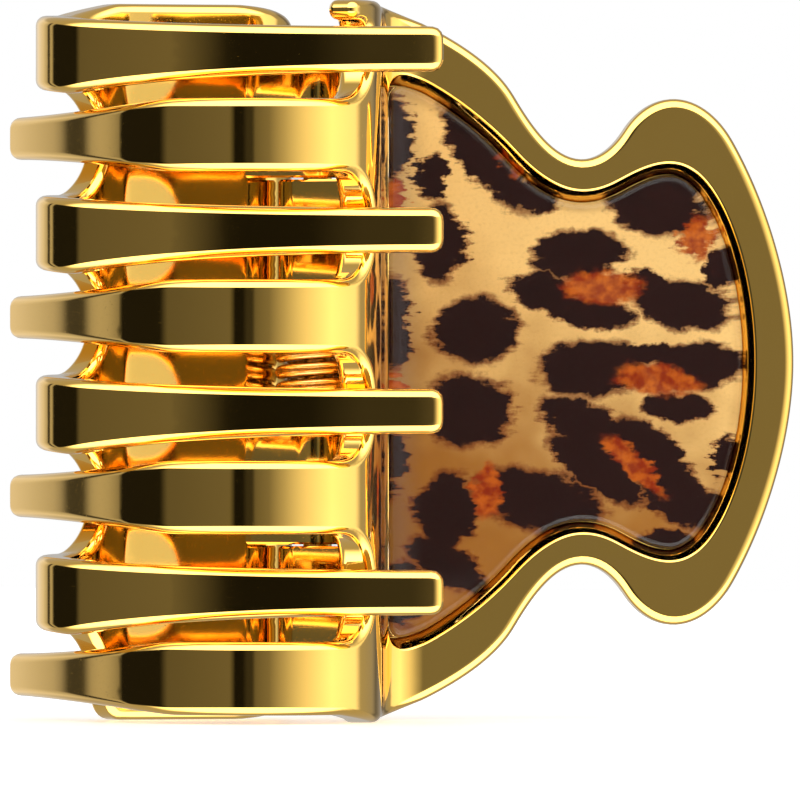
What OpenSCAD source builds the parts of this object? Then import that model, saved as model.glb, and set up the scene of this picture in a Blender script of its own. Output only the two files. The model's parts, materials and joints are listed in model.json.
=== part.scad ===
// Small claw hair clip: two alike moulded jaws that turn on one pin and are held shut by a torsion spring.
// The hinge axis stands up along +Z, the teeth point to -Y and the grips spread to +Y.
// The front jaw is on the +X side. The rear jaw is the same shape, turned half round, but has no end stub.

/* [Jaw] */
// Height of each jaw along the hinge
jaw_h = 40; // [38:0.5:42]
// Thickness of the grips and walls
wall_t = 2.2; // [2:0.1:2.3]
// Thickness of the teeth
tooth_t = 1.8; // [1.6:0.1:1.9]
// Angle of each grip from the middle plane
grip_angle = 50; // [46:1:54]
// Length of the flat part of the grip
grip_len = 20.85; // [20:0.05:22]
// Radius of the bulging shoulder
shoulder_r = 7; // [6.5:0.1:7.2]
// Radius of the long curve under the shoulder
claw_r = 12.2; // [11.5:0.1:13]
// Length of the straight end of a tooth
tooth_len = 12.8; // [11:0.1:13.5]

/* [Teeth] */
// Teeth on each jaw
teeth = 4; // [4:1:4]
// Distance from tooth to tooth
tooth_pitch = 10; // [9.5:0.1:10]
// Width of the gap between teeth at the shoulder
gap_w = 5.9; // [5.6:0.1:6]
// Width of the gap between teeth at the tips
gap_tip_w = 7.4; // [6.6:0.1:7.6]

/* [Inlay] */
// Depth of the recess for the inlay
recess_t = 1.2; // [1:0.05:1.3]
// Thickness of the printed sheet
sheet_t = 0.2; // [0.1:0.05:0.3]
// Gap between the clear cover and the recess wall
cover_gap = 0.4; // [0.2:0.05:0.6]

/* [Hinge] */
// Diameter of the hinge pin
pin_d = 1.6; // [1.4:0.1:1.8]
// Diameter of the bores in the ears
bore_d = 1.7; // [1.55:0.05:1.95]
// Outer radius of the ears
ear_r = 2.2; // [2:0.1:2.3]
// Length of the knuckle near the jaw's lower end
low_ear_t = 6.5; // [6:0.1:6.8]
// Length of the knuckle near the jaw's upper end
high_ear_t = 5.5; // [5:0.1:5.8]
// Diameter of the pin's heads
head_d = 2.8; // [2.4:0.1:3.2]

/* [Spring] */
// Diameter of the spring wire
wire_d = 0.8; // [0.6:0.05:0.8]
// Mean radius of the coil
coil_r = 2; // [1.8:0.05:2]
// Whole turns of the coil
coil_turns = 8; // [6:1:8]
// Length of each spring leg
leg_len = 9; // [8:0.1:10]

/* [Hidden] */
GOLD = [0.85, 0.66, 0.30];
BRASS = [0.72, 0.60, 0.36];
PRINT = [0.80, 0.52, 0.26];
CLEAR = [0.95, 0.93, 0.90, 0.35];
more = 1;              // what a cutter runs past a face
grip_reach = 4;        // how far a grip's cutter runs each side of its face
arc_step = 5;          // degrees between points on a curve
curve_points = 8;      // points on each stretch of an outline

// The jaw's section is drawn with the shoulder's centre on the X axis.
shoulder_c = [3.2, 0];
valley_c = [7.5, 10.5];
valley_r = 2.5;
hinge = [0, valley_c[1]];
claw_c = shoulder_c + [0, claw_r - shoulder_r];
tip_angle = -118;      // way the straight end of a tooth faces
tip_r = tooth_t / 2;
grip_face = -grip_angle;   // way the printed face of the grip faces
to_valley = valley_c - shoulder_c;
// The wall is the line that touches the shoulder on one side and the valley on the other.
wall_face = asin((shoulder_r + valley_r) / norm(to_valley)) - atan2(to_valley[0], to_valley[1]);

function way(a) = [cos(a), sin(a)];
function side(a) = way(a + 90);
function steps(a, b) = max(2, ceil(abs(b - a) / arc_step));
// The jaw thins from the wall to the teeth round the shoulder.
thin_start = wall_face;
thin_end = -20;
function thin_part(a) = min(1, max(0, (thin_start - a) / (thin_start - thin_end)));
function thickness(a) = wall_t + (tooth_t - wall_t) * thin_part(a);
// Points on an arc that bulges outwards, at a share "deep" of the thickness below its face
function bulge(c, r, a, b, deep) =
    [for (i = [0 : steps(a, b)]) let (g = a + (b - a) * i / steps(a, b)) c + (r - deep * thickness(g)) * way(g)];
// Points on the hollow arc of the valley, at a depth below its face
function hollow(a, b, depth) =
    [for (i = [0 : steps(a, b)]) let (g = a + (b - a) * i / steps(a, b)) valley_c - (valley_r + depth) * way(g)];

grip_start = valley_c - valley_r * way(grip_face);
function grip_point(along, depth) = grip_start + along * side(grip_face) - depth * way(grip_face);
tooth_start = claw_c + claw_r * way(tip_angle);
tip_c = tooth_start - tooth_len * side(tip_angle) - tip_r * way(tip_angle);
function side_line(deep) = concat(
    [grip_point(grip_len, deep * wall_t)],
    hollow(grip_face, wall_face, deep * wall_t),
    bulge(shoulder_c, shoulder_r, wall_face, -90, deep),
    bulge(claw_c, claw_r, -90, tip_angle, deep));
function reversed(list) = [for (i = [len(list) - 1 : -1 : 0]) list[i]];
tip_round = [for (i = [0 : 6]) tip_c + tip_r * way(tip_angle - 180 * i / 6)];

// The bounding box is centred on the origin in X and Y.
low_y = shoulder_c[1] - shoulder_r;
high_y = grip_point(grip_len, wall_t)[1];
centre_y = (low_y + high_y) / 2;
hinge_y = hinge[1] - centre_y;

// Half outline of a grip as curves of four points each: [along the grip, from its middle].
// Zero along the grip is at the valley.
valley_to_flat = 1.85;
GRIP_EDGE = [
    [[-0.9, 20.01], [1.8, 19], [5.4, 17.4], [6.9, 15]],
    [[6.9, 15], [7.9, 13.3], [9.2, 11.33], [10.8, 11.33]],
    [[10.8, 11.33], [11.9, 11.33], [12.7, 12.2], [13.2, 13]],
    [[13.2, 13], [13.7, 13.8], [14.7, 14.72], [15.95, 14.72]],
    [[15.95, 14.72], [17.3, 14.72], [18.45, 13.75], [19.2, 12.5]],
    [[19.2, 12.5], [21, 9.4], [22.7, 4.5], [22.7, 0]]];
RECESS_EDGE = [
    [[-0.9, 17.2], [2.8, 15.6], [5.4, 13.6], [7.1, 11.7]],
    [[7.1, 11.7], [8, 10.7], [9.4, 9.56], [10.8, 9.56]],
    [[10.8, 9.56], [12, 9.56], [12.7, 10.1], [13.5, 10.5]],
    [[13.5, 10.5], [14.1, 10.8], [14.9, 11.15], [15.7, 11.15]],
    [[15.7, 11.15], [16.8, 11.15], [17.6, 10.4], [18.2, 9.5]],
    [[18.2, 9.5], [19.6, 7.4], [20.5, 3.8], [20.5, 0]]];
function curve(p, t) = pow(1 - t, 3) * p[0] + 3 * t * pow(1 - t, 2) * p[1]
    + 3 * t * t * (1 - t) * p[2] + pow(t, 3) * p[3];
function half_edge(curves) = concat([curves[0][0]],
    [for (c = curves) for (i = [1 : curve_points]) curve(c, i / curve_points)]);
function whole_edge(curves) = let (h = half_edge(curves))
    concat(h, [for (i = [len(h) - 2 : -1 : 0]) [h[i][0], -h[i][1]]]);

// Gaps between the teeth
top_tooth_z = jaw_h - 7.5;     // middle of the front jaw's top tooth
gap_z = [for (i = [0 : teeth]) top_tooth_z + tooth_pitch / 2 - i * tooth_pitch];
stub_t = 0.8;                  // thickness of the stub of wall above the top gap
stub_low = -1.5;               // how far down the stub reaches
gap_end = -1.05;               // where the round root of a gap is centred
gap_wide_x = 3;                // past here the cutter covers the whole tooth
gap_top = 4;
gap_low = low_y - more;
shoulder_x = 12;
tip_x = -15;
far_x = -20;
near_x = 14;
function gap_half(x) = (gap_w + (gap_tip_w - gap_w) * (shoulder_x - x) / (shoulder_x - tip_x)) / 2;

// Ears, pin and spring along the hinge. Each jaw's knuckles end 0.5 mm from the other jaw's.
low_ear_z = 3;
high_ear_z = jaw_h - low_ear_z - low_ear_t - 0.5 - high_ear_t;
ear_web = 3.6;
pin_low = low_ear_z - 0.2;
pin_high = jaw_h - pin_low;
head_t = 0.5;
coil_pitch = wire_d * 1.15;
leg_lean = 29.4;               // angle of the front leg above +X
coil_from = 90 + leg_lean;
coil_sweep = 360 * coil_turns - 2 * leg_lean;
coil_h = coil_pitch * coil_sweep / 360;
coil_low = (jaw_h - coil_h) / 2;
turn_steps = 20;
wire_sides = 8;
coil_rings = round(turn_steps * coil_sweep / 360);

module section() {
    polygon(concat(side_line(0), tip_round, reversed(side_line(1))));
}

// Stands a shape drawn as [along the grip, up the hinge] on the grip's face, between two heights above it.
module on_grip(low, high) {
    base = grip_point(-valley_to_flat, 0);
    translate([base[0], base[1], jaw_h / 2])
        multmatrix([[side(grip_face)[0], 0, way(grip_face)[0], 0],
                    [side(grip_face)[1], 0, way(grip_face)[1], 0],
                    [0, 1, 0, 0]])
            translate([0, 0, low])
                linear_extrude(high - low) children();
}

module grip_trim() {
    reach = grip_len + grip_reach;
    on_grip(-2 * grip_reach, valley_r)
        difference() {
            translate([GRIP_EDGE[0][0][0], -jaw_h])
                square([reach, 2 * jaw_h]);
            polygon(whole_edge(GRIP_EDGE));
        }
}

// A layer of the inlay between two depths, as wide as an outline
module inlay_layer(low, high, shrink, start_face) {
    intersection() {
        linear_extrude(jaw_h)
            polygon(concat(
                [grip_point(grip_len - more, low)], hollow(grip_face, start_face, low),
                reversed(hollow(grip_face, start_face, high)), [grip_point(grip_len - more, high)]));
        on_grip(-grip_reach, grip_reach)
            if (shrink > 0)
                offset(delta = -shrink) polygon(whole_edge(RECESS_EDGE));
            else
                polygon(whole_edge(RECESS_EDGE));
    }
}

module gap(z) {
    translate([far_x, gap_end, z])
        rotate([0, 90, 0])
            cylinder(d = gap_w, h = near_x - far_x, $fn = 48);
    gap_wedge(z, gap_low, gap_end, near_x);
    gap_wedge(z, gap_end - more, gap_top, gap_wide_x);
}

module gap_wedge(z, low, high, end_x) {
    translate([0, high, z])
        rotate([90, 0, 0])
            linear_extrude(high - low)
                polygon([[far_x, -gap_half(far_x)], [end_x, -gap_half(end_x)],
                         [end_x, gap_half(end_x)], [far_x, gap_half(far_x)]]);
}

module end_stub() {
    intersection() {
        translate([0, 0, jaw_h - stub_t])
            linear_extrude(stub_t) section();
        translate([gap_wide_x, stub_low, 0])
            cube([near_x, gap_top - stub_low, jaw_h + more]);
    }
}

module ear(z, t) {
    translate([hinge[0], hinge[1], z])
        cylinder(r = ear_r, h = t, $fn = 64);
    translate([hinge[0], hinge[1] - ear_r, z])
        cube([ear_web, 2 * ear_r, t]);
}

// One jaw where the front jaw is, with the shoulder's centre on the X axis
module jaw(with_stub) {
    difference() {
        union() {
            difference() {
                linear_extrude(jaw_h) section();
                for (z = gap_z) gap(z);
                grip_trim();
                inlay_layer(-more, recess_t, 0, 0);
            }
            ear(low_ear_z, low_ear_t);
            ear(high_ear_z, high_ear_t);
            if (with_stub) end_stub();
        }
        translate([hinge[0], hinge[1], -more])
            cylinder(d = bore_d, h = jaw_h + 2 * more, $fn = 64);
    }
}

module placed() {
    translate([0, -centre_y, 0]) children();
}

// Turns a front piece half round into its place on the rear jaw
module half_round() {
    translate([0, 0, jaw_h]) rotate([0, 180, 0]) children();
}

module sheet() {
    inlay_layer(recess_t - sheet_t, recess_t, cover_gap / 2, 0);
}

module cover() {
    inlay_layer(0, recess_t - sheet_t, cover_gap, 0);
}

module front_jaw() { color(GOLD) placed() jaw(true); }
module rear_jaw() { color(GOLD) half_round() placed() jaw(false); }
module front_print_sheet() { color(PRINT) placed() sheet(); }
module rear_print_sheet() { color(PRINT) half_round() placed() sheet(); }
module front_clear_cover() { color(CLEAR) placed() cover(); }
module rear_clear_cover() { color(CLEAR) half_round() placed() cover(); }

module hinge_pin() {
    color(BRASS)
        translate([0, hinge_y, pin_low - head_t]) {
            cylinder(d = pin_d, h = pin_high - pin_low + 2 * head_t, $fn = 64);
            cylinder(d = head_d, h = head_t, $fn = 64);
            translate([0, 0, pin_high - pin_low + head_t])
                cylinder(d = head_d, h = head_t, $fn = 64);
        }
}

// The wire's middle line: the end of the front leg, the coil, then the end of the rear leg
function coil_point(a, z) = [coil_r * cos(a), coil_r * sin(a), z];
leg_front = coil_point(coil_from, coil_low) + leg_len * [cos(leg_lean), sin(leg_lean), 0];
leg_rear = coil_point(90 - leg_lean, coil_low + coil_h) + leg_len * [-cos(leg_lean), sin(leg_lean), 0];
wire_line = concat([leg_front],
    [for (i = [0 : coil_rings])
        coil_point(coil_from + coil_sweep * i / coil_rings, coil_low + coil_h * i / coil_rings)],
    [leg_rear]);
function unit(v) = v / norm(v);
function wire_way(i) = unit(wire_line[min(i + 1, len(wire_line) - 1)] - wire_line[max(i - 1, 0)]);
function wire_ring(i) = let (t = wire_way(i), a = unit(cross(t, [0, 0, 1])), b = cross(t, a))
    [for (k = [0 : wire_sides - 1])
        wire_line[i] + wire_d / 2 * (a * cos(360 * k / wire_sides) + b * sin(360 * k / wire_sides))];

module torsion_spring() {
    rings = len(wire_line);
    points = [for (i = [0 : rings - 1]) for (p = wire_ring(i)) p];
    quads = [for (i = [0 : rings - 2]) for (k = [0 : wire_sides - 1])
        let (n = (k + 1) % wire_sides)
        [i * wire_sides + k, i * wire_sides + n, (i + 1) * wire_sides + n, (i + 1) * wire_sides + k]];
    ends = [[for (k = [wire_sides - 1 : -1 : 0]) k],
            [for (k = [0 : wire_sides - 1]) (rings - 1) * wire_sides + k]];
    color(BRASS)
        translate([0, hinge_y, 0])
            polyhedron(points, concat(quads, ends));
}

front_jaw();
rear_jaw();
hinge_pin();
torsion_spring();
front_print_sheet();
rear_print_sheet();
front_clear_cover();
rear_clear_cover();
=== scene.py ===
import json
import math

import bmesh
import bpy
import numpy as np
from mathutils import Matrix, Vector, geometry


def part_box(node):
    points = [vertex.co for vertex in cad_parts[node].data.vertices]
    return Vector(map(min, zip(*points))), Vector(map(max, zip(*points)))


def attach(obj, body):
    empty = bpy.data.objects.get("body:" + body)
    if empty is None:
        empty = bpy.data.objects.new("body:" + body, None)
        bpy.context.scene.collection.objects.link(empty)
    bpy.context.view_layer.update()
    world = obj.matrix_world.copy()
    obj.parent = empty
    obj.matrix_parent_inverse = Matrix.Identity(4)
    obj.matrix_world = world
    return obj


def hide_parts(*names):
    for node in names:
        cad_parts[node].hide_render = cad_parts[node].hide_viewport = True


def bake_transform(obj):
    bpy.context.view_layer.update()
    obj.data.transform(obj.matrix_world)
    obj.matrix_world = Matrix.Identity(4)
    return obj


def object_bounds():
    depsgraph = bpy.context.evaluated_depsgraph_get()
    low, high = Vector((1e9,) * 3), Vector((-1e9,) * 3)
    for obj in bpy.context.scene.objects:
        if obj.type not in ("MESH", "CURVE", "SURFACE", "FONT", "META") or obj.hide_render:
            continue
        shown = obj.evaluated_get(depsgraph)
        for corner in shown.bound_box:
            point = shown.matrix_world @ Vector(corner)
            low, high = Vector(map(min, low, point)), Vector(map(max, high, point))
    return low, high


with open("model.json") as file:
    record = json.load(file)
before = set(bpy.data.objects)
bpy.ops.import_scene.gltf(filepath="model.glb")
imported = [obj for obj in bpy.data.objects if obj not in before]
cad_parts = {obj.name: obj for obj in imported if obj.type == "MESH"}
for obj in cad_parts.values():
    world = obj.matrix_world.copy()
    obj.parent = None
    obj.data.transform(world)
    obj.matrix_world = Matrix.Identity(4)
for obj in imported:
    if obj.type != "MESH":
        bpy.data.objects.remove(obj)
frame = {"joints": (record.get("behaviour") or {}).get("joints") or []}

bl_info = {
    "name": "Claw Hair Clip",
    "version": (1, 0, 0),
    "blender": (4, 5, 0),
    "location": "View3D > Sidebar > Clip",
    "description": "Builds a gold claw hair clip with spotted inlays",
    "category": "Object",
}

MM = 0.001
CAD_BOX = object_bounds()
HINGE = [value / MM for value in frame["joints"][0]["pos_m"]]
JAW_LOW, JAW_HIGH = [[value / MM for value in corner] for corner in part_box("front_jaw")]
JAW_HEIGHT = JAW_HIGH[2] - JAW_LOW[2]


# ---------------- the jaw's section

class Section:
    """The bent middle line of a jaw: a distance along its face gives a point and the way it faces.

    Distances are millimetres from the bottom of the valley, positive towards the end of the grip.
    """

    valley_radius = 2.5
    shoulder_radius = 7.0
    claw_radius = 12.2
    claw_turn = math.radians(24)
    tooth_radius = 80.0
    grip_turn = math.radians(50)
    wall_thick = 2.2
    tooth_thick = 1.8
    thinning = 6.5      # length over which the wall thins to a tooth
    tooth_length = 15.1
    plate_flat = 1.85   # from the valley to where the grip is flat

    def __init__(self):
        self.valley = Vector((7.5, HINGE[1]))
        self.shoulder = self.valley - Vector((4.3, 10.5))
        reach = self.valley - self.shoulder
        lean = (self.shoulder_radius + self.valley_radius) / reach.length
        self.wall_face = math.asin(lean) - math.atan2(reach.x, reach.y)
        self.wall_length = math.sqrt(reach.length ** 2 - (self.shoulder_radius + self.valley_radius) ** 2)
        self.flat_start = self.valley_radius * self.grip_turn
        self.wall_start = -self.valley_radius * self.wall_face
        self.shoulder_start = self.wall_start - self.wall_length
        self.claw_start = self.shoulder_start - self.shoulder_radius * (self.wall_face + math.pi / 2)
        self.tooth_start = self.claw_start - self.claw_radius * self.claw_turn
        self.tip = self.tooth_start - self.tooth_length
        self.claw = self.shoulder + Vector((0, self.claw_radius - self.shoulder_radius))
        last_face = -math.pi / 2 - self.claw_turn
        self.tooth = self.claw - (self.tooth_radius - self.claw_radius) * self.way(last_face)

    @staticmethod
    def way(angle):
        return Vector((math.cos(angle), math.sin(angle)))

    def at(self, along):
        """The point on the face and the way it faces."""
        if along > self.flat_start:
            face = self.way(-self.grip_turn)
            start = self.valley - self.valley_radius * face
            return start + (along - self.flat_start) * Vector((-face.y, face.x)), face
        if along > self.wall_start:
            face = self.way(-along / self.valley_radius)
            return self.valley - self.valley_radius * face, face
        if along > self.shoulder_start:
            face = self.way(self.wall_face)
            start = self.valley - self.valley_radius * face
            return start + (self.wall_start - along) * Vector((face.y, -face.x)), face
        if along > self.claw_start:
            face = self.way(self.wall_face - (self.shoulder_start - along) / self.shoulder_radius)
            return self.shoulder + self.shoulder_radius * face, face
        if along > self.tooth_start:
            face = self.way(-math.pi / 2 - (self.claw_start - along) / self.claw_radius)
            return self.claw + self.claw_radius * face, face
        last = -math.pi / 2 - self.claw_turn
        face = self.way(last - (self.tooth_start - along) / self.tooth_radius)
        return self.tooth + self.tooth_radius * face, face

    def thickness(self, along):
        share = min(1.0, max(0.0, (self.shoulder_start - along) / self.thinning))
        share = share * share * (3 - 2 * share)
        return self.wall_thick + (self.tooth_thick - self.wall_thick) * share

    def from_plate(self, plate):
        """Distance along the face for a distance measured straight along the grip's plane."""
        if plate >= self.plate_flat:
            return self.flat_start + plate - self.plate_flat
        turn = math.asin(min(1.0, (self.plate_flat - plate) / self.valley_radius))
        return self.flat_start - self.valley_radius * turn


SECTION = Section()


# ---------------- outlines

# Upper half of the grip's edge as curves of four points: along the grip's plane, height from its middle
GRIP_CURVES = [
    ((-0.6, 20.0), (1.8, 19.0), (5.4, 17.4), (6.9, 15.0)),
    ((6.9, 15.0), (7.9, 13.3), (9.2, 11.33), (10.8, 11.33)),
    ((10.8, 11.33), (11.9, 11.33), (12.7, 12.2), (13.2, 13.0)),
    ((13.2, 13.0), (13.7, 13.8), (14.7, 14.72), (15.95, 14.72)),
    ((15.95, 14.72), (17.3, 14.72), (18.45, 13.75), (19.2, 12.5)),
    ((19.2, 12.5), (21.0, 9.4), (22.7, 4.5), (22.7, 0.0)),
]
# The same for the edge of the recess
RECESS_CURVES = [
    ((-0.2, 16.7), (2.8, 15.6), (5.4, 13.6), (7.1, 11.7)),
    ((7.1, 11.7), (8.0, 10.7), (9.4, 9.56), (10.8, 9.56)),
    ((10.8, 9.56), (12.0, 9.56), (12.7, 10.1), (13.5, 10.5)),
    ((13.5, 10.5), (14.1, 10.8), (14.9, 11.15), (15.7, 11.15)),
    ((15.7, 11.15), (16.8, 11.15), (17.6, 10.4), (18.2, 9.5)),
    ((18.2, 9.5), (19.6, 7.4), (20.5, 3.8), (20.5, 0.0)),
]
TOOTH_CENTRES = (32.5, 22.5, 12.5, 2.5)
TOOTH_PITCH = 10.0
REAR_SHIFT = 0.25       # how far the rear jaw's teeth lie towards its own top
ROOT_RADIUS = 2.95      # round root between two teeth
ROOT_CENTRE = -13.0     # where along the face its centre lies
ROOT_END = -10.05       # the end of a root that is nearest the valley
MIDDLE = JAW_HEIGHT / 2


def bezier(points, share):
    a, b, c, d = [Vector(point) for point in points]
    rest = 1 - share
    return rest ** 3 * a + 3 * share * rest ** 2 * b + 3 * share ** 2 * rest * c + share ** 3 * d


def half_outline(curves, steps=24):
    """Upper half of a grip outline as (along, height) points, from the valley to the end."""
    points = [bezier(curves[0], 0)]
    for curve in curves:
        points += [bezier(curve, step / steps) for step in range(1, steps + 1)]
    return [(SECTION.from_plate(point.x), MIDDLE + point.y) for point in points]


def mirrored(points):
    return [(along, JAW_HEIGHT - height) for along, height in reversed(points)]


def tooth_half_width(along, side, front):
    """Half the width of a tooth to one side: it tapers from the shoulder to the tip."""
    tip_x, full_x, bend_x, shoulder_x = -15.0, 2.0, 5.0, 10.2
    across = SECTION.at(along)[0].x
    from_tip = max(0.0, across - tip_x)
    if front:
        return 1.18 + 0.85 * min(1.0, from_tip / (full_x - tip_x)) ** 1.6
    swell = 1.15 if side > 0 else 0.55
    if across > bend_x:
        return 2.05 + (swell - 0.8) * max(0.0, (shoulder_x - across) / (shoulder_x - bend_x))
    return 1.25 + swell * (from_tip / (bend_x - tip_x)) ** 2.2


def corner(before, point, after, radius, steps=8):
    """A round corner between two straight lines."""
    point = Vector(point)
    into = (Vector(before) - point).normalized()
    out = (Vector(after) - point).normalized()
    half = into.angle(out) / 2
    reach = radius / math.tan(half)
    centre = point + (into + out).normalized() * radius / math.sin(half)
    first = point + into * reach - centre
    last = point + out * reach - centre
    turn = first.angle_signed(last)
    points = []
    for step in range(steps + 1):
        angle = -turn * step / steps
        points.append(tuple(centre + Vector((
            first.x * math.cos(angle) - first.y * math.sin(angle),
            first.x * math.sin(angle) + first.y * math.cos(angle)))))
    return points


def root(centre):
    """The round root between two teeth, from its upper side to its lower side."""
    points = []
    for step in range(25):
        angle = math.pi / 2 - math.pi * step / 24
        points.append((ROOT_CENTRE + ROOT_RADIUS * math.cos(angle),
                       centre + ROOT_RADIUS * math.sin(angle)))
    return points


def top_root(centre):
    """The root above the top tooth, with a thin stub of wall along the jaw's end."""
    start, end, low, radius = -10.0, -12.5, JAW_HEIGHT - 1.1, 0.53
    points = [(start, JAW_HEIGHT)] + corner((start, JAW_HEIGHT), (end, JAW_HEIGHT), (end, low), radius)
    points += corner((end, JAW_HEIGHT), (end, low), (start, low), radius)
    inner_curve = ((-11.9, low), (-10.9, low), (ROOT_END, 38.6), (ROOT_END, centre))
    points += [tuple(bezier(inner_curve, step / 12)) for step in range(1, 12)]
    return points + [point for point in root(centre) if point[1] <= centre]


def open_root(centre):
    """The root above the top tooth of the jaw that has no stub, open at the jaw's end."""
    points = corner((-5.0, JAW_HEIGHT), (-9.6, JAW_HEIGHT), (-9.9, centre), 1.1)
    return points + [point for point in root(centre) if point[1] <= centre]


def tooth_side(centre, side, towards_tip, front):
    """Points along one side of a tooth, from its root to just before its tip."""
    start, end = ROOT_CENTRE, SECTION.tip + 1.6
    count = 40
    points = []
    for step in range(count + 1):
        along = start + (end - start) * step / count
        points.append((along, centre + side * tooth_half_width(along, side, front)))
    return points if towards_tip else points[::-1]


def tooth_tip(centre, front):
    """The square end of a tooth, with two round corners."""
    radius, before = 0.62, SECTION.tip + 1.5
    places = [(along, centre + side * tooth_half_width(along, side, front))
              for along, side in ((before, 1), (SECTION.tip, 1), (SECTION.tip, -1), (before, -1))]
    return corner(*places[:3], radius) + corner(*places[1:], radius)


def even(points, spacing):
    """A closed outline with its points spread evenly."""
    line = np.array(points + [points[0]], float)
    lengths = np.hypot(*np.diff(line, axis=0).T)
    keep = np.concatenate(([True], lengths > 1e-6))
    line = line[keep]
    total = np.concatenate(([0.0], np.cumsum(np.hypot(*np.diff(line, axis=0).T))))
    count = int(round(total[-1] / spacing))
    places = np.arange(count) * total[-1] / count
    return np.column_stack((np.interp(places, total, line[:, 0]), np.interp(places, total, line[:, 1])))


def smoothed(line, spread, spacing):
    """A closed outline eased with a bell curve of the given spread."""
    reach = int(4 * spread / spacing) + 1
    offsets = np.arange(-reach, reach + 1)
    weights = np.exp(-0.5 * (offsets * spacing / spread) ** 2)
    weights /= weights.sum()
    result = np.zeros_like(line)
    for offset, weight in zip(offsets, weights):
        result += weight * np.roll(line, -offset, axis=0)
    return result


def finished_outline(points, spacing, spread):
    fine = 0.06
    line = smoothed(even(points, fine), spread, fine)
    return even([tuple(point) for point in line], spacing)


def jaw_outline(front):
    """The flat outline of a jaw in the front jaw's place; only the front one has the stub of wall."""
    upper = half_outline(GRIP_CURVES)
    centres = [centre + (0 if front else REAR_SHIFT) for centre in TOOTH_CENTRES]
    top = centres[0] + TOOTH_PITCH / 2
    points = upper[::-1] + (top_root(top) if front else open_root(top))
    for centre in centres:
        points += tooth_side(centre, 1, True, front)
        points += tooth_tip(centre, front)
        points += tooth_side(centre, -1, False, front)
        if centre != centres[-1]:
            points += root(centre - TOOTH_PITCH / 2)
    foot = (-8.8, 0.0)
    return points + [foot] + mirrored(upper)[::-1]


def recess_outline():
    """The recess, with corners at the valley round enough for the pieces set into it."""
    upper = half_outline(RECESS_CURVES)
    turn = corner(upper[6], upper[0], (upper[0][0], MIDDLE), 1.3)
    upper = turn[::-1] + upper[6:]
    return upper[::-1] + mirrored(upper)[::-1]


def outward(line):
    """Unit normals that point out of a closed outline."""
    ahead = np.roll(line, -1, axis=0) - np.roll(line, 1, axis=0)
    ahead /= np.hypot(*ahead.T)[:, None]
    normals = np.column_stack((ahead[:, 1], -ahead[:, 0]))
    following = np.roll(line, -1, axis=0)
    area = np.sum(line[:, 0] * following[:, 1] - following[:, 0] * line[:, 1])
    return normals if area > 0 else -normals


def inside(line, points):
    """Which points lie inside a closed outline."""
    ax, ay = line[:, 0], line[:, 1]
    bx, by = np.roll(ax, -1), np.roll(ay, -1)
    rise = np.where(by == ay, 1.0, by - ay)
    result = np.zeros(len(points), bool)
    for first in range(0, len(points), 2000):
        part = points[first:first + 2000]
        x, y = part[:, 0, None], part[:, 1, None]
        crosses = ((ay > y) != (by > y)) & (x < (bx - ax) * (y - ay) / rise + ax)
        result[first:first + 2000] = crosses.sum(axis=1) % 2 == 1
    return result


def nearest(line, points):
    """Distance from each point to the nearest point of an outline."""
    result = np.full(len(points), np.inf)
    for part in np.array_split(line, 12):
        gaps = np.hypot(points[:, None, 0] - part[None, :, 0], points[:, None, 1] - part[None, :, 1])
        result = np.minimum(result, gaps.min(axis=1))
    return result


# ---------------- shells bent to the section

def quads(one, other):
    """Faces between two rings with as many points."""
    count = len(one)
    return [(one[index], one[(index + 1) % count], other[(index + 1) % count], other[index])
            for index in range(count)]


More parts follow.
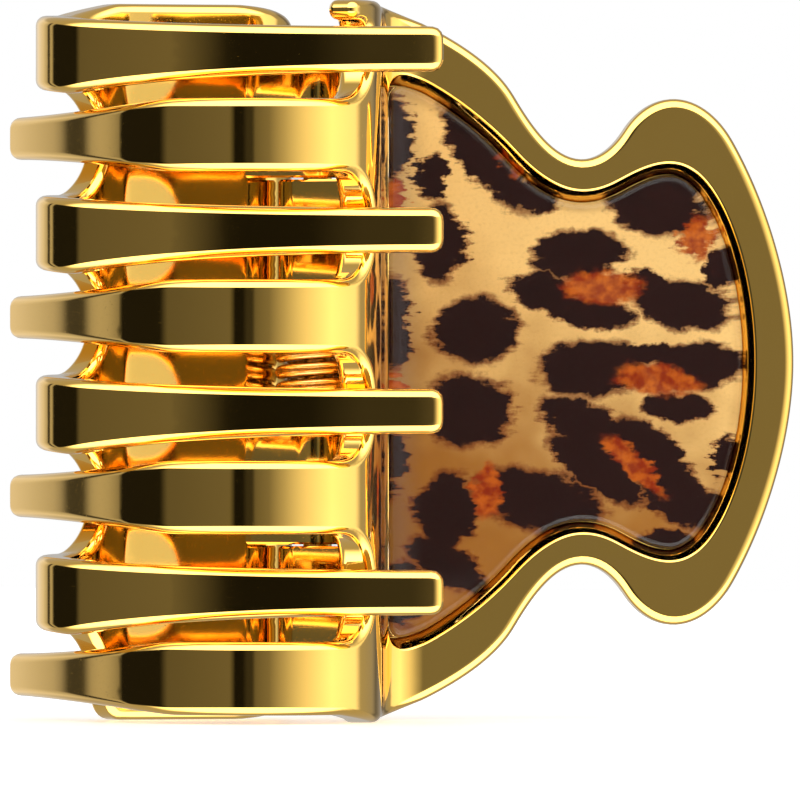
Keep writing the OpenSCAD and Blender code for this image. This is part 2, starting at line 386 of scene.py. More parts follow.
class Shell:
    """A mesh drawn flat as (along, height, depth) and bent round the section."""

    def __init__(self):
        self.flat = []
        self.normals = []
        self.faces = []

    def add(self, points, depths, slopes):
        """Adds points; each slope is (along, height, out) and becomes the way the surface faces there."""
        first = len(self.flat)
        for point, depth, slope in zip(points, depths, slopes):
            self.flat.append((float(point[0]), float(point[1]), float(depth)))
            self.normals.append(tuple(float(value) for value in slope))
        return list(range(first, len(self.flat)))

    def cap(self, edges, depth, out, step):
        """Fills between outlines that are already in the mesh, with rows of points that take the bends."""
        margin = 0.22
        lines = [np.array([self.flat[index][:2] for index in edge]) for edge in edges]
        low, high = lines[0].min(axis=0), lines[0].max(axis=0)
        rows = np.arange(low[0], high[0], step / 2)
        columns = np.arange(low[1], high[1], step)
        grid = np.array([(row, column + (number % 2) * step / 2)
                         for number, row in enumerate(rows) for column in columns])
        keep = inside(lines[0], grid) & (nearest(lines[0], grid) > margin)
        for line in lines[1:]:
            keep &= ~inside(line, grid) & (nearest(line, grid) > margin)
        grid = grid[keep]
        added = self.add(grid, [depth(point[0]) for point in grid], [(0, 0, out)] * len(grid))
        known = [index for edge in edges for index in edge] + added
        places = [Vector(self.flat[index][:2]) for index in known]
        constraints = []
        start = 0
        for edge in edges:
            count = len(edge)
            constraints += [(start + index, start + (index + 1) % count) for index in range(count)]
            start += count
        inside_outline = 1
        found = geometry.delaunay_2d_cdt(places, constraints, [], inside_outline, 1e-7)
        sources = [group[0] if group else None for group in found[3]]
        faces = [face for face in found[2] if all(sources[index] is not None for index in face)]
        corners = np.array([place[:] for place in found[0]])
        middles = corners[np.array(faces)].mean(axis=1)
        keep = inside(lines[0], middles)
        for line in lines[1:]:
            keep &= ~inside(line, middles)
        for face, kept in zip(faces, keep):
            if kept:
                self.faces.append(tuple(known[sources[index]] for index in face))

    def rounded_edge(self, line, radius, top, bottom, steps=5):
        """Rings round an outline from its top face, over the rounded edge, to its bottom face."""
        normals = outward(line)
        radii = np.full(len(line), radius) if np.isscalar(radius) else radius
        rings = []
        for side in (1, -1):
            for step in range(steps + 1):
                angle = math.pi / 2 * step / steps
                if side > 0:
                    angle = math.pi / 2 - angle
                inset = radii * (1 - math.cos(angle))
                points = line - normals * inset[:, None]
                drop = radii * (1 - math.sin(angle))
                face = top if side > 0 else bottom
                depths = [face(point[0]) + side * amount for point, amount in zip(points, drop)]
                slopes = [(n[0] * math.cos(angle), n[1] * math.cos(angle), side * math.sin(angle))
                          for n in normals]
                rings.append(self.add(points, depths, slopes))
        for one, other in zip(rings, rings[1:]):
            self.faces += quads(one, other)
        return rings[0], rings[-1]

    def build(self, name, rear, material):
        """Bends the flat mesh, turns it half round for the rear jaw and makes the object."""
        places = []
        facings = []
        for (along, height, depth), slope in zip(self.flat, self.normals):
            point, face = SECTION.at(along)
            point = point - depth * face
            run = Vector((-face.y, face.x))
            normal = slope[0] * run + slope[2] * face
            place = Vector((point.x, point.y, height))
            facing = Vector((normal.x, normal.y, slope[1])).normalized()
            if rear:
                place = Vector((-place.x, place.y, JAW_HEIGHT - place.z))
                facing = Vector((-facing.x, facing.y, -facing.z))
            places.append(place * MM)
            facings.append(facing)
        mesh = bpy.data.meshes.new(name)
        mesh.from_pydata(places, [], self.faces)
        mesh.validate()
        self.face_outwards(mesh, facings)
        layer = mesh.uv_layers.new(name="plate")
        for loop in mesh.loops:
            along, height, _ = self.flat[loop.vertex_index]
            layer.data[loop.index].uv = ((along + 50) / 100, height / 100)
        mesh.shade_smooth()
        mesh.normals_split_custom_set_from_vertices(facings)
        mesh.materials.append(material)
        piece = bpy.data.objects.new(name, mesh)
        bpy.context.scene.collection.objects.link(piece)
        return piece

    @staticmethod
    def face_outwards(mesh, facings):
        """Turns over each face that looks against the way its corners face."""
        work = bmesh.new()
        work.from_mesh(mesh)
        turned = []
        for face in work.faces:
            towards = Vector()
            for corner_vertex in face.verts:
                towards += facings[corner_vertex.index]
            if face.normal.dot(towards) < 0:
                turned.append(face)
        bmesh.ops.reverse_faces(work, faces=turned)
        work.to_mesh(mesh)
        work.free()


EDGE_RADIUS = 0.55
STUB_EDGE_RADIUS = 0.45
RECESS_DEPTH = 1.2
SHEET_DEPTH = 1.0
COVER_DEPTH = 0.08
CLEARANCE = 0.02
INLAY_INSET = 0.66
# The recess from rim to floor: inset, depth, then how far the surface looks out and inwards
RECESS_STEPS = (
    (-0.12, 0.0, 1, 0), (-0.03, 0.02, 1, 0.4), (0.04, 0.09, 0.8, 1), (0.08, 0.18, 0.5, 0.87),
    (0.55, 1.0, 0.5, 0.87), (0.62, RECESS_DEPTH, 0.3, 1), (0.64, RECESS_DEPTH, 1, 0),
)


def level(value):
    return lambda along: value


def jaw_shell(front):
    shell = Shell()
    line = finished_outline(jaw_outline(front), 0.3, 0.16)
    radii = EDGE_RADIUS
    if front:
        thin = (line[:, 1] > 38.6) & (line[:, 0] < -10.2)
        near = smoothed(np.column_stack((thin, thin)).astype(float), 0.6, 0.3)[:, 0]
        radii = EDGE_RADIUS + (STUB_EDGE_RADIUS - EDGE_RADIUS) * np.clip(near * 1.6, 0, 1)
    top, bottom = shell.rounded_edge(line, radii, level(0.0), SECTION.thickness)
    rim = finished_outline(recess_outline(), 0.25, 0.25)
    normals = outward(rim)
    rings = []
    for inset, depth, out, inward in RECESS_STEPS:
        slopes = [(-n[0] * inward, -n[1] * inward, out) for n in normals]
        rings.append(shell.add(rim - normals * inset, [depth] * len(rim), slopes))
    for one, other in zip(rings, rings[1:]):
        shell.faces += quads(one, other)
    shell.cap([top, rings[0]], level(0.0), 1, 0.8)
    shell.cap([bottom], SECTION.thickness, -1, 0.8)
    shell.cap([rings[-1]], level(RECESS_DEPTH), 1, 0.9)
    return shell


def inlay_shell(high, low, edge_radius, steps, spacing):
    """A piece set into the recess between two depths, with its edge rounded."""
    shell = Shell()
    rim = finished_outline(recess_outline(), 0.25, 0.25)
    line = rim - outward(rim) * INLAY_INSET
    top, bottom = shell.rounded_edge(line, edge_radius, level(high), level(low), steps)
    shell.cap([top], level(high), 1, spacing)
    shell.cap([bottom], level(low), -1, 0.9)
    return shell


def sheet_shell():
    return inlay_shell(SHEET_DEPTH, RECESS_DEPTH - CLEARANCE, 0.05, 2, 0.8)


def cover_shell():
    return inlay_shell(COVER_DEPTH, SHEET_DEPTH - 0.03, 0.42, 6, 0.7)


# ---------------- node helpers

def node_of(tree, kind, **settings):
    node = tree.nodes.new(kind)
    for name, value in settings.items():
        setattr(node, name, value)
    return node


def feed(tree, socket, value):
    """Links a socket or sets a value."""
    if isinstance(value, bpy.types.NodeSocket):
        tree.links.new(value, socket)
    else:
        socket.default_value = value


def maths(tree, operation, *values):
    node = node_of(tree, "ShaderNodeMath", operation=operation)
    for socket, value in zip(node.inputs, values):
        feed(tree, socket, value)
    return node.outputs[0]


def vector_maths(tree, operation, *values):
    node = node_of(tree, "ShaderNodeVectorMath", operation=operation)
    for socket, value in zip(node.inputs, values):
        feed(tree, socket, value)
    return node.outputs["Value" if operation == "LENGTH" else "Vector"]


def stretch(tree, value, low, high, to_low=0.0, to_high=1.0, smooth=True):
    node = node_of(tree, "ShaderNodeMapRange", interpolation_type="SMOOTHSTEP" if smooth else "LINEAR")
    for name, item in (("Value", value), ("From Min", low), ("From Max", high),
                       ("To Min", to_low), ("To Max", to_high)):
        feed(tree, node.inputs[name], item)
    return node.outputs[0]


def mix_colour(tree, share, a, b):
    node = node_of(tree, "ShaderNodeMix", data_type="RGBA")
    feed(tree, node.inputs[0], share)
    feed(tree, node.inputs[6], a)
    feed(tree, node.inputs[7], b)
    return node.outputs[2]


def noise_value(tree, vector, scale, detail=2.0, rough=0.5):
    node = node_of(tree, "ShaderNodeTexNoise")
    tree.links.new(vector, node.inputs["Vector"])
    node.inputs["Scale"].default_value = scale
    node.inputs["Detail"].default_value = detail
    node.inputs["Roughness"].default_value = rough
    return node


def new_group(name, inputs, outputs):
    group = bpy.data.node_groups.new(name, "ShaderNodeTree")
    for label, kind, default in inputs:
        socket = group.interface.new_socket(label, in_out="INPUT", socket_type=kind)
        if default is not None:
            socket.default_value = default
    for label, kind in outputs:
        group.interface.new_socket(label, in_out="OUTPUT", socket_type=kind)
    return group, group.nodes.new("NodeGroupInput"), group.nodes.new("NodeGroupOutput")


def place_group(tree, name, **values):
    node = node_of(tree, "ShaderNodeGroup", node_tree=bpy.data.node_groups[name])
    for label, value in values.items():
        feed(tree, node.inputs[label.replace("_", " ")], value)
    return node


def handled_surface_group():
    """Fine pits and hairline scratches, for plated and polished surfaces."""
    group, entry, out = new_group(
        "Handled surface",
        [("Vector", "NodeSocketVector", None), ("Pits", "NodeSocketFloat", 0.5),
         ("Scratches", "NodeSocketFloat", 0.3), ("Roughness", "NodeSocketFloat", 0.06)],
        [("Height", "NodeSocketFloat"), ("Roughness", "NodeSocketFloat")])
    vector = entry.outputs["Vector"]
    grain = noise_value(group, vector, 11000, 2, 0.5)
    pits = stretch(group, grain.outputs[0], 0.22, 0.34)
    swell = noise_value(group, vector, 500, 1, 0.4)
    turn = node_of(group, "ShaderNodeMapping")
    group.links.new(vector, turn.inputs["Vector"])
    turn.inputs["Rotation"].default_value = (0.4, 0.9, 0.5)
    turn.inputs["Scale"].default_value = (300, 9000, 9000)
    lines = noise_value(group, turn.outputs[0], 1.0, 1, 0.5)
    scratch = stretch(group, lines.outputs[0], 0.74, 0.80)
    height = maths(group, "MULTIPLY", pits, entry.outputs["Pits"])
    height = maths(group, "ADD", height, maths(group, "MULTIPLY", swell.outputs[0], 0.6))
    height = maths(group, "SUBTRACT", height, maths(group, "MULTIPLY", scratch, entry.outputs["Scratches"]))
    group.links.new(height, out.inputs["Height"])
    worn = maths(group, "MULTIPLY", scratch, 0.15)
    dull = maths(group, "MULTIPLY", maths(group, "SUBTRACT", 1.0, pits), 0.08)
    rough = maths(group, "ADD", entry.outputs["Roughness"], maths(group, "ADD", worn, dull))
    group.links.new(rough, out.inputs["Roughness"])


def fur_spot_group():
    """Distance from the middle of a long round spot: under 1 is inside it."""
    group, entry, out = new_group(
        "Fur spot",
        [("Vector", "NodeSocketVector", None), ("Centre", "NodeSocketVector", None),
         ("Tilt", "NodeSocketFloat", 0.0), ("Half size", "NodeSocketVector", (1, 1, 1))],
        [("Distance", "NodeSocketFloat")])
    shift = vector_maths(group, "SUBTRACT", entry.outputs["Vector"], entry.outputs["Centre"])
    turn = node_of(group, "ShaderNodeVectorRotate", rotation_type="Z_AXIS")
    group.links.new(shift, turn.inputs["Vector"])
    group.links.new(entry.outputs["Tilt"], turn.inputs["Angle"])
    scaled = vector_maths(group, "DIVIDE", turn.outputs[0], entry.outputs["Half size"])
    group.links.new(vector_maths(group, "LENGTH", scaled), out.inputs["Distance"])


def new_material(name):
    material = bpy.data.materials.new(name)
    material.use_nodes = True
    tree = material.node_tree
    tree.nodes.clear()
    shader = tree.nodes.new("ShaderNodeBsdfPrincipled")
    out = tree.nodes.new("ShaderNodeOutputMaterial")
    tree.links.new(shader.outputs[0], out.inputs[0])
    return material, tree, shader


def bump(tree, shader, height, strength, distance):
    node = node_of(tree, "ShaderNodeBump")
    node.inputs["Strength"].default_value = strength
    node.inputs["Distance"].default_value = distance
    tree.links.new(height, node.inputs["Height"])
    tree.links.new(node.outputs[0], shader.inputs["Normal"])


def plated_material(name, wear, roughness, tone_scale, colours, relief):
    """Plated metal: wear is its pits and scratches, relief is the strength and distance of its bump."""
    material, tree, shader = new_material(name)
    place = tree.nodes.new("ShaderNodeTexCoord").outputs["Object"]
    surface = place_group(tree, "Handled surface", Vector=place, Pits=wear[0], Scratches=wear[1],
                          Roughness=roughness)
    tone = noise_value(tree, place, tone_scale, 2, 0.5)
    tree.links.new(mix_colour(tree, tone.outputs[0], *colours), shader.inputs["Base Color"])
    tree.links.new(surface.outputs["Roughness"], shader.inputs["Roughness"])
    shader.inputs["Metallic"].default_value = 1.0
    bump(tree, shader, surface.outputs["Height"], *relief)
    return material, shader


def gold_material(settings):
    red, green, blue = settings.gold_colour
    colours = ((red * 0.97, green * 0.94, blue * 0.85, 1), (red, green, blue, 1))
    material, shader = plated_material(
        "gold_plating", (0.5, 0.5), settings.polish, 260, colours, (0.06, 0.00002))
    shader.inputs["Coat Weight"].default_value = 0.45
    shader.inputs["Coat Roughness"].default_value = 0.03
    shader.inputs["Coat IOR"].default_value = 1.5
    return material


def wire_material():
    colours = ((0.62, 0.36, 0.10, 1), (0.86, 0.56, 0.20, 1))
    return plated_material("plated_wire", (0.3, 0.6), 0.2, 900, colours, (0.2, 0.00005))[0]


def clear_material():
    material, tree, shader = new_material("clear_cover")
    place = tree.nodes.new("ShaderNodeTexCoord").outputs["Object"]
    surface = place_group(tree, "Handled surface", Vector=place, Pits=0.1, Scratches=0.4, Roughness=0.02)
    tree.links.new(surface.outputs["Roughness"], shader.inputs["Roughness"])
    shader.inputs["Base Color"].default_value = (1.0, 0.995, 0.985, 1.0)
    shader.inputs["Transmission Weight"].default_value = 1.0
    shader.inputs["IOR"].default_value = 1.25
    return material


# Dark spots of the print: along the grip, height from its middle, length, width, tilt in degrees
DARK_SPOTS = (
    (5.4, 11.6, 7.8, 2.7, -50), (7.8, 9.3, 3.4, 1.6, -20), (15.1, 8.7, 5.4, 3.4, -12),
    (16.3, 10.0, 3.6, 1.6, -5), (18.6, 5.2, 2.0, 2.6, -60), (10.6, 6.0, 5.2, 2.6, 4),
    (8.7, 4.0, 4.0, 2.0, -10), (11.2, 2.8, 4.8, 1.6, -6), (16.5, 3.2, 5.8, 2.7, -12),
    (14.6, 4.4, 2.6, 1.5, -30), (4.8, 1.8, 4.8, 3.6, 0), (11.4, -0.4, 6.0, 3.3, 4),
    (17.4, -0.2, 4.8, 2.6, 0), (14.6, 0.5, 3.2, 1.0, 0), (16.2, -2.6, 4.2, 1.5, -4),
    (4.5, -2.7, 4.8, 4.0, 0), (11.2, -3.6, 5.8, 2.4, -20), (16.2, -7.4, 5.4, 3.0, -35),
    (14.9, -5.0, 5.0, 2.0, -38), (11.6, -6.0, 5.8, 2.2, -34), (8.4, -7.7, 7.2, 3.4, -12),
    (3.2, -8.3, 3.2, 4.2, 0), (3.4, -11.4, 4.8, 2.2, -30), (15.2, -10.1, 4.2, 1.4, 4),
    (2.8, 6.8, 2.7, 4.3, 0), (2.4, 10.4, 1.6, 2.6, 0), (18.9, -5.4, 1.4, 2.6, 0),
    (0.4, 2.0, 1.6, 6.0, 0), (0.3, -5.4, 1.5, 5.0, 0), (0.6, 12.6, 1.6, 5.4, 0),
    (1.0, -13.0, 2.2, 3.4, 0),
)
ORANGE_SPOTS = (
    (7.0, 11.0, 1.8, 0.9, -45), (17.4, 7.0, 1.9, 2.6, -20), (12.0, 4.2, 4.4, 1.9, -5),
    (15.0, -1.0, 4.6, 1.8, -6), (13.8, -5.8, 5.0, 1.3, -40), (5.5, -7.2, 1.6, 3.2, -10),
    (0.6, -1.6, 0.9, 2.2, 0), (0.7, 9.0, 0.9, 2.2, 0),
)


def smallest_spot(tree, vector, spots):
    """The distance to the nearest of a list of spots."""
    nearest_one = None
    for along, height, length, width, tilt in spots:
        spot = place_group(tree, "Fur spot", Vector=vector, Centre=(along, height, 0),
                           Tilt=-math.radians(tilt), Half_size=(length / 2, width / 2, 1))
        value = spot.outputs[0]
        nearest_one = value if nearest_one is None else maths(tree, "MINIMUM", nearest_one, value)
    return nearest_one


def print_material(settings):
    material, tree, shader = new_material("spotted_print")
    plate = node_of(tree, "ShaderNodeUVMap", uv_map="plate").outputs[0]
    # Back to millimetres: along the grip from the valley, and height from the jaw's middle
    vector = vector_maths(tree, "MULTIPLY_ADD", plate, (100, 100, 0), (-50.33, -MIDDLE, 0))
    ragged = vector
    for scale, amount in ((0.55, 1.1), (2.6, 0.5), (9.0, 0.16)):
        wave = noise_value(tree, vector, scale, 2, 0.55)
        centred = vector_maths(tree, "SUBTRACT", wave.outputs["Color"], (0.5, 0.5, 0.5))
        ragged = vector_maths(tree, "MULTIPLY_ADD", centred, (amount * 1.6, amount, 0), ragged)
    # Long hairs along the grip draw the edges of the spots out sideways
    combed = vector_maths(tree, "MULTIPLY", vector, (0.6, 2.3, 0))
    hairs = noise_value(tree, combed, 1.0, 3, 0.6).outputs[0]
    pull = node_of(tree, "ShaderNodeCombineXYZ")
    tree.links.new(maths(tree, "MULTIPLY", maths(tree, "SUBTRACT", hairs, 0.5), 2.0), pull.inputs[0])
    ragged = vector_maths(tree, "ADD", ragged, pull.outputs[0])
    dark = smallest_spot(tree, ragged, DARK_SPOTS)
    orange = smallest_spot(tree, ragged, ORANGE_SPOTS)
    parts = node_of(tree, "ShaderNodeSeparateXYZ")
    tree.links.new(vector, parts.inputs[0])
    # Painted shade and tone: the ground darkens towards the valley, where the cover's bend shades it, and
    # towards the bottom; a slow noise varies it
    slope = maths(tree, "ADD", maths(tree, "MULTIPLY", parts.outputs[1], 0.06),
                  maths(tree, "MULTIPLY", parts.outputs[0], 0.03))
    shade = noise_value(tree, vector, 0.28, 2, 0.5).outputs[0]
    light = stretch(tree, maths(tree, "ADD", slope, shade), 0.15, 1.25)
    base = mix_colour(tree, light, tuple(settings.deep_fur) + (1.0,), tuple(settings.light_fur) + (1.0,))
    mottle = noise_value(tree, vector, 5.0, 3, 0.6).outputs[0]
    specks = maths(tree, "MULTIPLY", stretch(tree, mottle, 0.45, 0.8), 0.18)
    base = mix_colour(tree, specks, base, (0.42, 0.17, 0.03, 1))
    # Painted shade: the ground goes almost black near the valley, under the shade of the cover's bend
    painted_valley_shade = stretch(tree, parts.outputs[0], 2.4, -0.4, 0.0, 0.85)
    base = mix_colour(tree, painted_valley_shade, base, (0.10, 0.035, 0.008, 1))
    fringe = stretch(tree, dark, 1.2, 0.97)
    colour = mix_colour(tree, maths(tree, "MULTIPLY", fringe, 0.8), base, (0.16, 0.030, 0.006, 1))
    inner = stretch(tree, dark, 1.0, 0.9)
    black = mix_colour(tree, mottle, (0.010, 0.0024, 0.0018, 1), (0.026, 0.006, 0.004, 1))
    colour = mix_colour(tree, inner, colour, black)
    patch = noise_value(tree, vector, 1.6, 2, 0.5).outputs[0]
    patch = stretch(tree, patch, 0.35, 0.7)
    glow = mix_colour(tree, patch, (0.27, 0.022, 0.002, 1), (0.56, 0.12, 0.008, 1))
    colour = mix_colour(tree, maths(tree, "MULTIPLY", stretch(tree, orange, 1.2, 0.75), 0.95), colour, glow)
    tree.links.new(colour, shader.inputs["Base Color"])
    rough = stretch(tree, mottle, 0.2, 0.8, 0.38, 0.5)
    tree.links.new(rough, shader.inputs["Roughness"])
    shader.inputs["Specular IOR Level"].default_value = 0.04
    bump(tree, shader, mottle, 0.05, 0.00003)
    return material


# ---------------- pin, spring and ears

def tube_faces(rows, sides):
    """The faces of a tube made of rings of points, with its two ends."""
    rings = [range(row * sides, (row + 1) * sides) for row in range(rows)]
    faces = [face for one, other in zip(rings, rings[1:]) for face in quads(one, other)]
    return faces + [tuple(rings[0])[::-1], tuple(rings[-1])]


def lathe(name, profile, centre, material, sides=48):
    """A turned piece: (radius, height) points spun round a line along Z."""
    places = []
    for radius, height in profile:
        for side in range(sides):
            angle = 2 * math.pi * side / sides
            places.append(Vector((centre[0] + radius * math.cos(angle),
                                  centre[1] + radius * math.sin(angle), height)) * MM)
    return finished_piece(name, places, tube_faces(len(profile), sides), material)


def finished_piece(name, places, faces, material, smooth_angle=40):
    mesh = bpy.data.meshes.new(name)
    mesh.from_pydata(places, [], faces)
    mesh.validate()
    mesh.shade_smooth()
    mesh.set_sharp_from_angle(angle=math.radians(smooth_angle))
    mesh.materials.append(material)
    piece = bpy.data.objects.new(name, mesh)
    bpy.context.scene.collection.objects.link(piece)
    return piece


def ear_outline(radius, reach, inset):
    """Outline of a hinge ear: round about the pin and square where it meets the wall."""
    size = radius - inset
    points = [(reach, -size), (reach, size)]
    for step in range(25):
        angle = math.pi / 2 + math.pi * step / 24
        points.append((size * math.cos(angle), size * math.sin(angle)))
    return points


# Lower end and length of each of the front jaw's ears
EARS = ((3.0, 6.7), (24.06, 6.14))


def hinge_ears(name, rear, material):
    """Two long ears with bores, in the front jaw's place or turned half round for the rear jaw."""
    places, faces = [], []
    radius, reach, bore, chamfer = 2.2, 3.6, 0.85, 0.12
    for low, thick in EARS:
        levels = ((low, chamfer), (low + chamfer, 0), (low + thick - chamfer, 0), (low + thick, chamfer))
        outer, inner = [], []
        for height, inset in levels:
            outline = ear_outline(radius, reach, inset)
            size = bore + inset / 2
            ring = [(size * math.cos(angle), size * math.sin(angle))
                    for angle in (math.atan2(y, x) for x, y in outline)]
            for rings, points in ((outer, outline), (inner, ring)):
                first = len(places)
                places += [(x, y + HINGE[1], height) for x, y in points]
                rings.append(range(first, len(places)))
        for row in range(3):
            faces += quads(outer[row], outer[row + 1]) + quads(inner[row + 1], inner[row])
        faces += quads(inner[0], outer[0]) + quads(outer[3], inner[3])
    if rear:
        places = [(-x, y, JAW_HEIGHT - z) for x, y, z in places]
    return finished_piece(name, [Vector(place) * MM for place in places], faces, material, 35)


def spring_line(settings):
    """The middle line of the wire: front leg, coil, rear leg."""
    lean = math.radians(29.4)
    turns = settings.coil_turns - 2 * lean / (2 * math.pi)
    pitch = settings.wire * 1.15
    low = (JAW_HEIGHT - pitch * turns) / 2
    start = math.pi / 2 + lean
    leg = 9.0

    def on_coil(angle, height):
        radius = settings.coil_radius
        return Vector((radius * math.cos(angle), radius * math.sin(angle) + HINGE[1], height))

    first = on_coil(start, low)
    last = on_coil(math.pi / 2 - lean, low + pitch * turns)
    front = Vector((math.cos(lean), math.sin(lean), 0))
    rear = Vector((-math.cos(lean), math.sin(lean), 0))
    points = [first + front * leg * (1 - step / 12) for step in range(12)]
    rings = int(turns * 40)
    points += [on_coil(start + 2 * math.pi * turns * step / rings, low + pitch * turns * step / rings)
               for step in range(rings + 1)]
    points += [last + rear * leg * step / 12 for step in range(1, 13)]
    return points, low, low + pitch * turns


def wire_piece(name, line, radius, material, sides=14):
    """A round wire along a line of points."""
    places = []
    count = len(line)
    for index, point in enumerate(line):
        ahead = (line[min(index + 1, count - 1)] - line[max(index - 1, 0)]).normalized()
        across = ahead.cross(Vector((0, 0, 1))).normalized()
        up = ahead.cross(across)
        size = radius * (0.75 if index in (0, count - 1) else 1.0)
        for side in range(sides):
            angle = 2 * math.pi * side / sides
            places.append((point + size * (across * math.cos(angle) + up * math.sin(angle))) * MM)
    return finished_piece(name, places, tube_faces(count, sides), material, 60)


# ---------------- settings and operators

class ClipSettings(bpy.types.PropertyGroup):
    """Sizes and colours of the clip."""
    gold_colour: bpy.props.FloatVectorProperty(
        name="Gold", description="Colour of the plating", subtype="COLOR", size=3, min=0, max=1,
        default=(1.0, 0.64, 0.14))
    polish: bpy.props.FloatProperty(
        name="Polish", description="Roughness of the plating", default=0.055, min=0.0, max=0.5)
    light_fur: bpy.props.FloatVectorProperty(
        name="Light fur", description="Lightest ground colour of the print", subtype="COLOR", size=3,
        min=0, max=1, default=(0.92, 0.60, 0.22))
    deep_fur: bpy.props.FloatVectorProperty(
        name="Deep fur", description="Deepest ground colour of the print", subtype="COLOR", size=3,
        min=0, max=1, default=(0.36, 0.15, 0.025))
    wire: bpy.props.FloatProperty(
        name="Wire", description="Diameter of the spring wire in millimetres", default=0.8, min=0.5,
        max=1.0)
    coil_radius: bpy.props.FloatProperty(
        name="Coil radius", description="Mean radius of the coil in millimetres", default=2.0, min=1.5,
        max=2.2)
    coil_turns: bpy.props.IntProperty(
        name="Coil turns", description="Turns of the spring", default=8, min=3, max=8)


class StageSettings(bpy.types.PropertyGroup):
    """The camera's view."""
    view_angle: bpy.props.FloatProperty(
        name="View angle", description="Turn of the camera round the clip", subtype="ANGLE",
        default=math.radians(35))
    view_distance: bpy.props.FloatProperty(
        name="View distance", description="From the camera to the clip", subtype="DISTANCE", unit="LENGTH",
        default=1.1)
    view_width: bpy.props.FloatProperty(
        name="View width", description="Width that the camera sees at the clip", subtype="DISTANCE",
        unit="LENGTH", default=0.04477)


def share_material(name, make):
    return bpy.data.materials.get(name) or make()


def jaw_material(context):
    return share_material("gold_plating", lambda: gold_material(context.scene.clip))


SIDES = (("front", False), ("rear", True))


class CLIP_OT_jaws(bpy.types.Operator):
    """Builds both gold jaws with their hinge ears"""
    bl_idname = "clip.jaws"
    bl_label = "Jaws"

    def execute(self, context):
        for side, rear in SIDES:
            jaw = jaw_shell(not rear).build(side + "_gold_jaw", rear, jaw_material(context))
            ears = hinge_ears(side + "_jaw_ears", rear, jaw_material(context))
            for piece in (jaw, ears):
                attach(piece, side)
            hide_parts(side + "_jaw")
        return {"FINISHED"}


class CLIP_OT_inlays(bpy.types.Operator):
    """Builds the printed sheets"""
    bl_idname = "clip.inlays"
    bl_label = "Printed sheets"

    def execute(self, context):
        material = share_material("spotted_print", lambda: print_material(context.scene.clip))
        shell = sheet_shell()
        for side, rear in SIDES:
            sheet = shell.build(side + "_leopard_sheet", rear, material)
            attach(sheet, side)
            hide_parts(side + "_print_sheet")
        return {"FINISHED"}


class CLIP_OT_covers(bpy.types.Operator):
    """Builds the clear covers over the printed sheets"""
    bl_idname = "clip.covers"
    bl_label = "Clear covers"

    def execute(self, context):
        material = share_material("clear_cover", clear_material)
        shell = cover_shell()
        for side, rear in SIDES:
            cover = shell.build(side + "_glossy_cover", rear, material)
            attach(cover, side)
            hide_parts(side + "_clear_cover")
        return {"FINISHED"}


class CLIP_OT_hinge(bpy.types.Operator):
    """Builds the headed pin and the torsion spring"""
    bl_idname = "clip.hinge"
    bl_label = "Pin and spring"

    def execute(self, context):
        settings = context.scene.clip
        steel = share_material("plated_wire", wire_material)
        low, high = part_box("hinge_pin")
        low, high = low.z / MM, high.z / MM
        # Radius and rise from the top of a domed head to the pin itself
        dome = [(0.5, 0.0), (1.0, 0.08), (1.3, 0.25), (1.4, 0.42), (1.38, 0.5), (0.8, 0.5)]
        profile = [(radius, low + rise) for radius, rise in dome]
        profile += [(radius, high - rise) for radius, rise in reversed(dome)]
        pin = lathe("headed_pin", profile, (0, HINGE[1]), steel)
        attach(pin, "front")
        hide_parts("hinge_pin")
        line, start, end = spring_line(settings)
        spring = wire_piece("wire_spring", line, settings.wire / 2, steel)
        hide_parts("torsion_spring")
        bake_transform(spring)
        return {"FINISHED"}


# Brightness of the studio round the clip, by the way it lies in degrees: light and dark cards in turn
STUDIO_RING = (
    (-180, 0.05), (-179.4, 0.05), (-178.4, 0.5), (-175, 0.42), (-172.5, 0.012), (-140, 0.012),
    (-135, 0.12), (-78, 0.16), (-73, 0.008), (-66, 0.01), (-62, 0.04), (-57, 0.04), (-54.5, 0.15),
    (-42, 0.22), (-28, 0.5), (-12, 0.9), (20, 1.6), (50, 1.3), (58, 0.42), (80, 0.34), (90, 0.14),
    (126, 0.5), (150, 0.9), (166, 0.75), (175.5, 0.45), (176.5, 0.05), (180, 0.05),
)
OVERHEAD = (3.4, 3.366, 3.298, 1)       # white cards above and below
BEHIND = (0.45, 0.4275, 0.3825, 1)      # what lies behind them, away from the camera
SOFT_FILL = 1.0                         # the backdrop and the light on surfaces that don't mirror
VIEW_ASIDE = 0.00476
VIEW_DROP = 0.00188


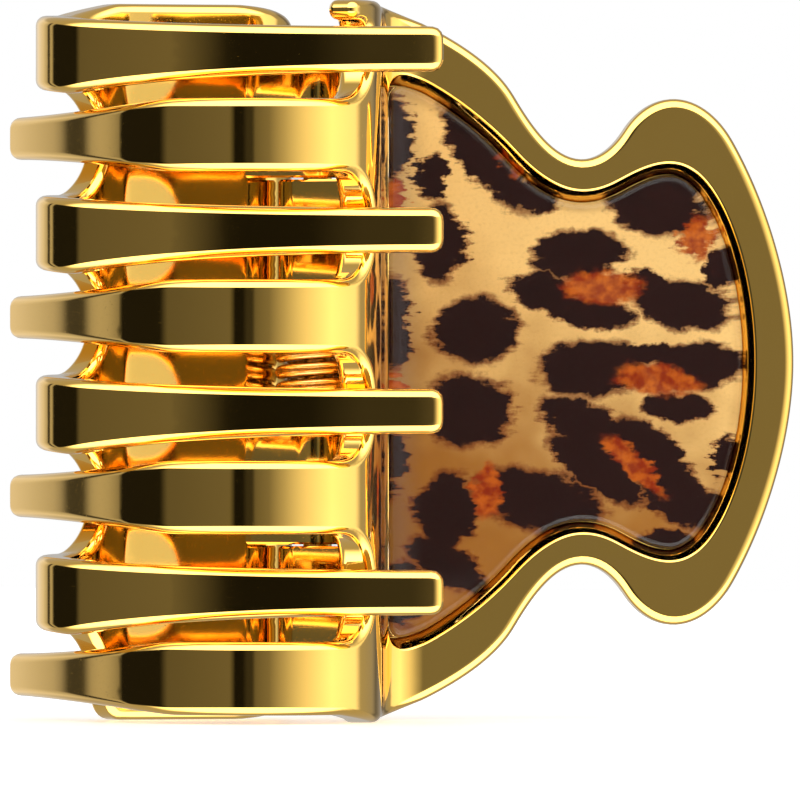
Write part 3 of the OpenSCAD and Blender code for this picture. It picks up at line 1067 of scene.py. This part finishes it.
class CLIP_OT_stage(bpy.types.Operator):
    """Builds the floor, the studio light and the camera"""
    bl_idname = "clip.stage"
    bl_label = "Stage"

    def execute(self, context):
        settings = context.scene.clip_stage
        self.floor()
        self.studio(context)
        self.camera(context, settings)
        context.scene.view_settings.view_transform = "Standard"
        return {"FINISHED"}

    def floor(self):
        size, count = 1.2, 24
        places = [(size * (column / count - 0.5), size * (row / count - 0.5), -0.00002)
                  for row in range(count + 1) for column in range(count + 1)]
        faces = [(first, first + 1, first + count + 2, first + count + 1)
                 for first in range(count * (count + 1)) if (first + 1) % (count + 1)]
        material, tree, shader = new_material("white_floor")
        place = tree.nodes.new("ShaderNodeTexCoord").outputs["Object"]
        tone = noise_value(tree, place, 30, 2, 0.5)
        tree.links.new(mix_colour(tree, tone.outputs[0], (0.93, 0.93, 0.93, 1), (0.96, 0.96, 0.96, 1)),
                       shader.inputs["Base Color"])
        shader.inputs["Roughness"].default_value = 0.32
        shader.inputs["Specular IOR Level"].default_value = 0.3
        shader.inputs["Emission Color"].default_value = (1, 1, 1, 1)
        shader.inputs["Emission Strength"].default_value = 0.42
        floor = finished_piece("floor", places, faces, material)
        floor.visible_glossy = False

    def studio(self, context):
        world = bpy.data.worlds.new("studio")
        context.scene.world = world
        world.use_nodes = True
        tree = world.node_tree
        tree.nodes.clear()
        way = tree.nodes.new("ShaderNodeTexCoord").outputs["Generated"]
        parts = node_of(tree, "ShaderNodeSeparateXYZ")
        tree.links.new(way, parts.inputs[0])
        angle = maths(tree, "ARCTAN2", parts.outputs[1], parts.outputs[0])
        turn = stretch(tree, angle, -math.pi, math.pi, smooth=False)
        ring = node_of(tree, "ShaderNodeValToRGB")
        tree.links.new(turn, ring.inputs[0])
        stops = ring.color_ramp.elements
        while len(stops) > 1:
            stops.remove(stops[-1])
        for index, (degrees, level_value) in enumerate(STUDIO_RING):
            place = (degrees + 180) / 360
            stop = stops[0] if index == 0 else stops.new(place)
            stop.position = place
            stop.color = (level_value, level_value * 0.98, level_value * 0.95, 1)
        rise = maths(tree, "ABSOLUTE", parts.outputs[2])
        above = stretch(tree, rise, 0.30, 0.42)
        # The big white cards stand above and below on the camera's side only
        turn_of_view = context.scene.clip_stage.view_angle
        facing = maths(tree, "SUBTRACT", maths(tree, "MULTIPLY", parts.outputs[0], math.sin(turn_of_view)),
                       maths(tree, "MULTIPLY", parts.outputs[1], math.cos(turn_of_view)))
        card = mix_colour(tree, stretch(tree, facing, -0.3, 0.15), BEHIND, OVERHEAD)
        mirrored_light = mix_colour(tree, above, ring.outputs[0], card)
        background = node_of(tree, "ShaderNodeBackground")
        tree.links.new(mirrored_light, background.inputs[0])
        backdrop = node_of(tree, "ShaderNodeBackground")
        backdrop.inputs[0].default_value = (SOFT_FILL, SOFT_FILL, SOFT_FILL, 1)
        seen = tree.nodes.new("ShaderNodeLightPath").outputs["Is Glossy Ray"]
        mix = node_of(tree, "ShaderNodeMixShader")
        tree.links.new(seen, mix.inputs[0])
        tree.links.new(backdrop.outputs[0], mix.inputs[1])
        tree.links.new(background.outputs[0], mix.inputs[2])
        out = node_of(tree, "ShaderNodeOutputWorld")
        tree.links.new(mix.outputs[0], out.inputs[0])

    def camera(self, context, settings):
        low, high = Vector(CAD_BOX[0]), Vector(CAD_BOX[1])
        right = Vector((math.cos(settings.view_angle), math.sin(settings.view_angle), 0))
        towards = Vector((math.sin(settings.view_angle), -math.cos(settings.view_angle), 0))
        target = right * VIEW_ASIDE + Vector((0, 0, (low.z + high.z) / 2 - VIEW_DROP))
        lens = bpy.data.cameras.new("camera")
        lens.sensor_width = 36
        lens.lens = lens.sensor_width * settings.view_distance / settings.view_width
        lens.clip_start = 0.01
        camera = bpy.data.objects.new("camera", lens)
        camera.location = target + towards * settings.view_distance
        camera.rotation_euler = (math.pi / 2, 0, settings.view_angle)
        context.scene.collection.objects.link(camera)
        context.scene.camera = camera


class CLIP_PT_panel(bpy.types.Panel):
    """Lists the clip's settings and its makers"""
    bl_idname = "CLIP_PT_panel"
    bl_label = "Claw hair clip"
    bl_space_type = "VIEW_3D"
    bl_region_type = "UI"
    bl_category = "Clip"

    def draw(self, context):
        for group in (context.scene.clip, context.scene.clip_stage):
            for name in group.bl_rna.properties.keys():
                if name not in {"rna_type", "name"}:
                    self.layout.prop(group, name)
        for operator in OPERATORS:
            self.layout.operator(operator.bl_idname)


OPERATORS = (CLIP_OT_stage, CLIP_OT_jaws, CLIP_OT_inlays, CLIP_OT_covers, CLIP_OT_hinge)
CLASSES = (ClipSettings, StageSettings) + OPERATORS + (CLIP_PT_panel,)


def register():
    for item in CLASSES:
        bpy.utils.register_class(item)
    bpy.types.Scene.clip = bpy.props.PointerProperty(type=ClipSettings)
    bpy.types.Scene.clip_stage = bpy.props.PointerProperty(type=StageSettings)


def unregister():
    del bpy.types.Scene.clip_stage
    del bpy.types.Scene.clip
    for item in reversed(CLASSES):
        bpy.utils.unregister_class(item)


def main():
    register()
    handled_surface_group()
    fur_spot_group()
    bpy.ops.clip.stage()
    bpy.ops.clip.jaws()
    bpy.ops.clip.inlays()
    bpy.ops.clip.covers()
    bpy.ops.clip.hinge()


if __name__ == "__main__":
    main()
